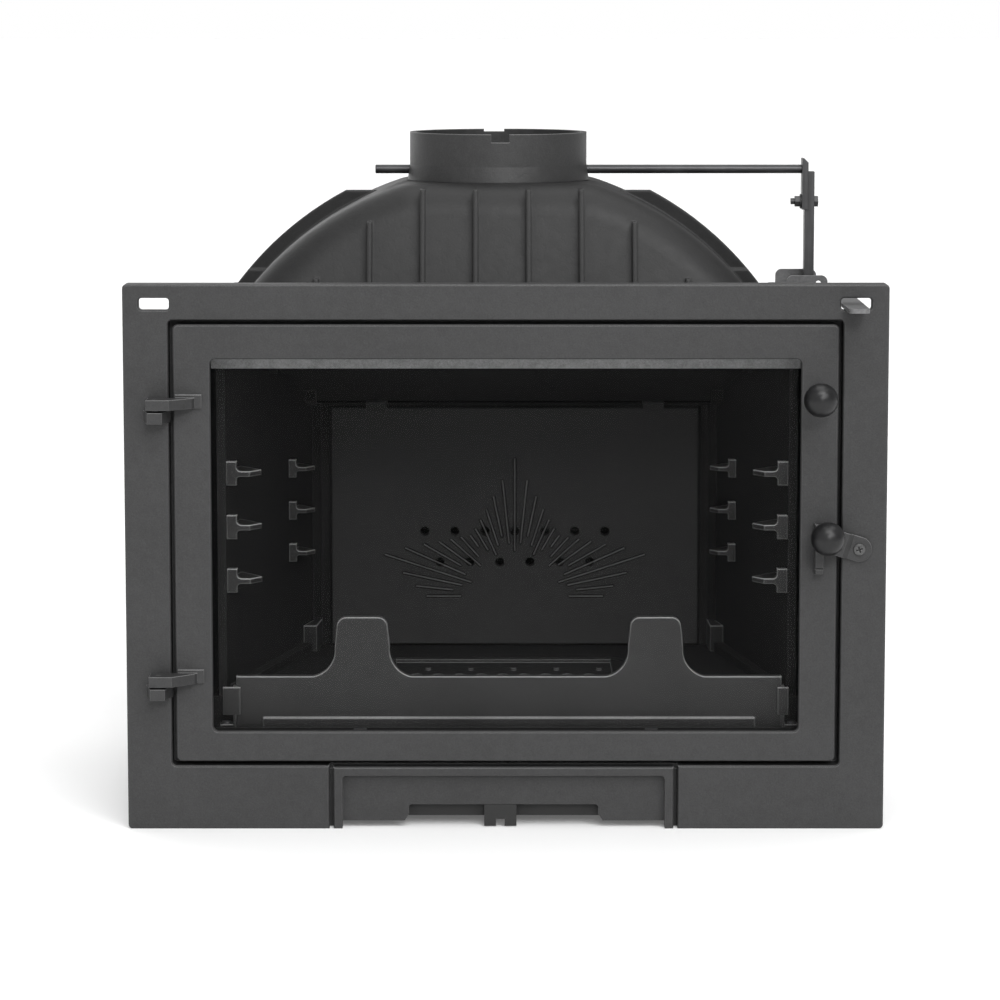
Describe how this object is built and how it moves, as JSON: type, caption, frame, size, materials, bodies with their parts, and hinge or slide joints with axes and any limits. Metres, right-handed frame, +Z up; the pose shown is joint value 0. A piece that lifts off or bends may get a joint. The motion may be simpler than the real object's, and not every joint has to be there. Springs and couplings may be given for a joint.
{
  "type": "fireplace insert",
  "caption": "Cast-iron fireplace insert: wide frame with a glazed latched door, ribbed domed top with flue collar, damper linkage, firebox lining, log retainer and ash drawer.",
  "frame": {"origin": "bottom centre of the bounding box, on the floor", "axes": "+X right as seen from the front, +Y to the back, +Z up"},
  "size_m": [0.7, 0.444, 0.637],
  "materials": {
    "cast_iron_paint": "matt dark grey heat-proof paint",
    "body_iron": "matt dark grey heat-proof paint",
    "firebox_iron": "matt black heat-proof paint",
    "painted_steel": "matt dark grey paint",
    "dark_steel": "satin dark grey",
    "plated_steel": "zinc plated",
    "glass": "clear ceramic glass",
    "knob": "satin dark grey",
    "rope": "knitted glass-fibre rope",
    "seal_felt": "flat glass-fibre tape"
  },
  "bodies": {
    "body": {"front_frame": "cast_iron_paint", "base_casting": "body_iron", "left_side_wall": "body_iron", "right_side_wall": "body_iron", "back_wall": "body_iron", "dome": "cast_iron_paint", "flue_collar": "cast_iron_paint", "hearth_floor": "firebox_iron", "fire_grate": "firebox_iron", "left_liner": "firebox_iron", "right_liner": "firebox_iron", "back_liner": "firebox_iron", "fireback": "firebox_iron", "corner_posts": "firebox_iron", "corner_blocks": "firebox_iron", "grill_supports": "firebox_iron", "smoke_baffle": "firebox_iron", "baffle_cleats": "firebox_iron", "log_retainer": "firebox_iron", "fireback_clips": "painted_steel", "retainer_brackets": "painted_steel", "air_deflector": "painted_steel", "air_channel": "painted_steel", "keeper_plate": "dark_steel", "keeper_screw": "dark_steel", "hinge_pins": "dark_steel", "frame_bolts": "plated_steel", "tie_rods": "plated_steel", "tie_rod_nuts": "plated_steel", "pull_guide": "dark_steel", "guide_screw": "dark_steel", "bracket_screws": "dark_steel", "collar_screws": "plated_steel"},
    "door": {"door_frame": "cast_iron_paint", "door_glass": "glass", "glass_seal": "seal_felt", "door_rope": "rope", "glass_clips": "plated_steel", "clip_screws": "plated_steel", "door_knob": "knob", "door_knob_stud": "dark_steel"},
    "latch": {"latch_lever": "cast_iron_paint", "latch_knob": "knob", "latch_knob_stud": "dark_steel", "latch_pivot": "plated_steel", "latch_clip": "plated_steel"},
    "drawer": {"ash_drawer": "painted_steel", "drawer_front": "cast_iron_paint", "drawer_screws": "plated_steel", "slider_screws": "plated_steel"},
    "slider": {"air_slider": "painted_steel"},
    "damper": {"damper_rod": "dark_steel", "damper_disc": "firebox_iron", "damper_saddles": "firebox_iron", "saddle_screws": "plated_steel", "damper_crank": "dark_steel", "link_bar": "dark_steel", "link_bolt": "dark_steel", "link_nut": "dark_steel"},
    "pull": {"damper_pull": "dark_steel"}
  },
  "joints": [
    {"name": "door_hinge", "type": "hinge", "parent": "body", "child": "door", "pos_m": [-0.3194, -0.1825, 0.2658], "axis": [0, 0, -1], "range_deg": [0, 115]},
    {"name": "latch_turn", "type": "hinge", "parent": "door", "child": "latch", "pos_m": [0.2873, -0.168, 0.252], "axis": [0, -1, 0], "range_deg": [-20, 55]},
    {"name": "drawer_slide", "type": "slide", "parent": "body", "child": "drawer", "axis": [0, -1, 0], "range_m": [0, 0.25]},
    {"name": "air_slide", "type": "slide", "parent": "drawer", "child": "slider", "axis": [1, 0, 0], "range_m": [-0.02, 0.02]},
    {"name": "damper_turn", "type": "hinge", "parent": "body", "child": "damper", "pos_m": [-0.007, 0.062, 0.6008], "axis": [-1, 0, 0], "range_deg": [-20, 30]},
    {"name": "pull_slide", "type": "slide", "parent": "body", "child": "pull", "axis": [0, -1, 0], "range_m": [-0.0415, 0.062]}
  ],
  "couplings": [
    {"joint": "pull_slide", "follows": "damper_turn", "m_per_rad": 0.118}
  ]
}
